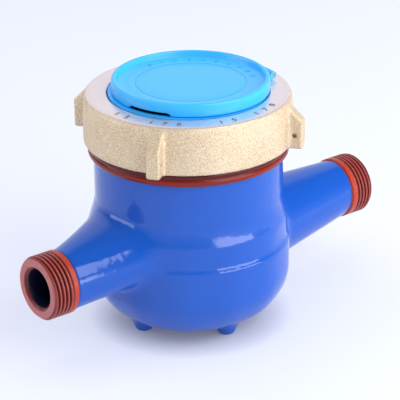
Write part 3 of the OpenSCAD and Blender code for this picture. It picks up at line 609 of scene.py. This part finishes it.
def lid_surface():
    """Disc turned about its own upright line, which stands off the meter axis toward the hinge: a section
    of (radius, height) whose skirt rises over the thumb slot and over the straps of the hinge."""
    a = np.linspace(0, 2 * math.pi, 256, endpoint=False)
    away = lambda turn: np.abs((a - turn + math.pi) % (2 * math.pi) - math.pi)
    lift = np.maximum(slot_h * np.clip((slot_half - away(slot_turn)) / ramp, 0, 1),
                      strap_h * np.clip((strap_half - away(hinge_turn)) / ramp, 0, 1))
    rows = [(r, lid_low + plate_low) for r in (2.0, 15.0, lid_r - skirt - 0.5, lid_r - skirt)]
    rows += [(lid_r - skirt, lid_low + np.minimum(lift, plate_low - 0.05)), (lid_r - 0.35, lid_low + lift),
             (lid_r - 0.08, lid_low + 0.08 + lift), (lid_r, lid_low + 0.35 + lift)]
    rows += [(lid_r - rim_round + rim_round * math.cos(t), lid_top - rim_round + rim_round * math.sin(t))
             for t in np.linspace(0, math.pi / 2, 7)]
    rows += [(lid_r - 1.7 - t, lid_top - sunk * (t * t * (3 - 2 * t))) for t in np.linspace(0, 1, 8)]
    groove = [(26, 0), (23.0, 0), (22.8, 0.05), (22.65, 0.26), (22.5, 0.26), (22.35, 0.05), (22.1, 0)]
    rows += [(r, lid_top - sunk - deep) for r, deep in groove + [(16, 0), (8, 0), (2, 0)]]
    v, faces = lathe(np.stack([np.stack(np.broadcast_arrays(r, z, a)[:2], 1) for r, z in rows]), ring=False)
    return v + lid_shift, faces


# Light blue plastic, moulded: bright sky blue, softly glossy.
sky = material("plastic_moulded_sky_blue", Base_Color=lin("#38b8ff"), Roughness=0.26, IOR=1.46)[0]
dress(sky, "lid_bezel")

v, f = lid_surface()
lid = piece("lid_shell", v, f, "lid", sky)
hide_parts("lid")

# Digits moulded on the sunk face.
v, f = numbers("0123456789", radius=25.9, start=92, step=-13.0, tall=2.6, z=103.62, thick=0.36,
               outward=True)
piece("lid_numbers", v + lid_shift, f, "lid", sky, smooth=False)


# Hinge: a knuckle moulded on the back of the lid stands between two ears of the bezel and turns on a
# drawn steel pin, which is pressed into the ears.
eye_r, eye_sweep = 1.6, 0.72 * math.pi
tongue = [[-1.2, 1.0], [-3.4, 1.0], [-3.4, -0.2], [-1.4, -0.2]]
knuckle_half, knuckle_chamfer, knuckle_end = 5.5, 0.2, 0.9


def knuckle_surface():
    """Section of a round eye with a flat tongue to the rim, carried along the hinge line and drawn in at
    both ends, which close on the line."""
    t = np.linspace(-eye_sweep, eye_sweep, 26)
    section = np.concatenate([np.stack([eye_r * np.cos(t), eye_r * np.sin(t)], 1), tongue])
    inner = knuckle_half - knuckle_chamfer
    along = np.array([-knuckle_half, -inner, inner, knuckle_half])
    scale = np.array([knuckle_end, 1.0, 1.0, knuckle_end])
    flat = scale[:, None, None] * section[None]
    y = np.broadcast_to(along[:, None], flat.shape[:2])
    v = np.stack([flat[..., 0], y, flat[..., 1]], -1).reshape(-1, 3)
    v = np.concatenate([v, [[0, along[0], 0], [0, along[-1], 0]]])
    line = np.array([-hinge_way[1], hinge_way[0], 0])
    v = hinge + v[:, :1] * hinge_way + v[:, 1:2] * line + v[:, 2:] * np.array([0, 0, 1.0])
    return v, grid_faces(len(along), len(section), False)[:, ::-1]


v, f = knuckle_surface()
piece("lid_knuckle", v, f, "lid", sky, smooth=False)
dress(steel, "hinge_pin")


# Stage: a pale paper sheet under the meter, in metres. Its white comes from the paper, which glows a little;
# close under the meter the glow is dimmed into a painted shadow of the meter.
paper, tree, shader = material("paper_seamless", Base_Color=lin("#b0b3bd"), Roughness=0.9,
                               Emission_Color=lin("#eef1ff"))
# Painted shadow: the paper's glow fades where the meter stands close above it.
near = add(tree, "AmbientOcclusion", Distance=14 * mm)
glow_with_painted_shadow = add(tree, "MapRange", Value=near.outputs["AO"], From_Min=0.2, From_Max=0.9, To_Min=0.12, To_Max=0.5)
tree.links.new(glow_with_painted_shadow.outputs["Result"], shader["Emission Strength"])
half, under = 6.0, -0.2 * mm
mesh = bpy.data.meshes.new("floor")
corners = [(x * half, y * half, under) for x, y in ((-1, -1), (1, -1), (1, 1), (-1, 1))]
mesh.from_pydata(corners, [], [(0, 1, 2, 3)])
mesh.materials.append(paper)
floor = placed("floor", mesh)


# Lights: five soft lamps round the meter, in metres, turned to its middle. The two that only lift the
# shade don't show in the gloss.
lamp_aim = np.array([0, 0, 0.05])


def stand(obj, x, y, z, place):
    """Gives an object its three directions and its place."""
    obj.matrix_world = Matrix([[x[i], y[i], z[i], place[i]] for i in range(3)] + [[0, 0, 0, 1]])


def softbox(name, place, size, watts):
    """Oblong area light at a place, turned to the meter."""
    light = bpy.data.lights.new(name, "AREA")
    light.shape = "RECTANGLE"
    light.size, light.size_y = size
    light.energy = watts
    obj = placed(name, light)
    z = np.array(place, float) - lamp_aim
    z /= np.linalg.norm(z)
    x = np.cross((0, 0, 1.0), z)
    x /= np.linalg.norm(x)
    stand(obj, x, np.cross(z, x), z, place)
    return obj


fill = softbox("top_fill", (0.0, 0.1, 1.4), (1.6, 1.6), 8)
fill.visible_glossy = False
softbox("left_box", (-0.9, 0.5, 0.45), (0.9, 0.5), 4.0)
softbox("front_window", (0.14, -0.78, 0.67), (0.85, 0.65), 6.5)
softbox("right_strip", (0.2, -0.88, 0.13), (0.8, 0.22), 2.8)
side = softbox("right_window", (0.95, -0.35, 0.35), (0.4, 0.5), 5.0)
side.visible_glossy = False


# Room: a bright band near the floor that fades upward, and white paper behind the meter, which the gloss
# mirrors.
world = bpy.data.worlds.new("studio")
bpy.context.scene.world = world
world.use_nodes = True
tree = world.node_tree
tree.nodes.clear()
way = add(tree, "TexCoord").outputs["Generated"]
height = add(tree, "SeparateXYZ", Vector=way)
band = add(tree, "MapRange", Value=height.outputs["Z"],
           From_Min=0.05, From_Max=0.4, To_Min=0.85, To_Max=0.22)
toward = add(tree, "VectorMath", {"operation": "DOT_PRODUCT"}, i0=way, i1=(0.45, 0.85, 0.27))
paper_back = add(tree, "MapRange", Value=toward.outputs["Value"], From_Min=0.6, From_Max=0.85)
most = add(tree, "Math", {"operation": "MAXIMUM"},
           i0=band.outputs["Result"], i1=paper_back.outputs["Result"])
back = add(tree, "Background", Color=lin("#eef1fc"), Strength=most.outputs["Value"])
add(tree, "OutputWorld", Surface=back.outputs["Background"])


# Camera: a long lens from the photo's side and height. The focal length is in pixels of a picture 400
# pixels wide, and the places are in millimetres.
sensor, picture, focal = 36.0, 400, 1959.288
yaw, rise, roll = (math.radians(a) for a in (38.451, 23.889, -0.439))
aim, sideways, distance = np.array([-6.5, 0, 50.985]), 3.437, 815.41
lens = bpy.data.cameras.new("camera")
lens.sensor_width = sensor
lens.lens = focal / picture * sensor
lens.clip_end = 20
camera = placed("camera", lens)
back_way = np.array([-math.sin(yaw) * math.cos(rise), -math.cos(yaw) * math.cos(rise), math.sin(rise)])
right_way = np.array([math.cos(yaw), -math.sin(yaw), 0])
up_way = np.cross(back_way, right_way)
stand(camera, right_way * math.cos(roll) + up_way * math.sin(roll),
      up_way * math.cos(roll) - right_way * math.sin(roll), back_way,
      (aim + right_way * sideways + back_way * distance) * mm)
bpy.context.scene.camera = camera
bpy.context.scene.view_settings.view_transform = "Standard"
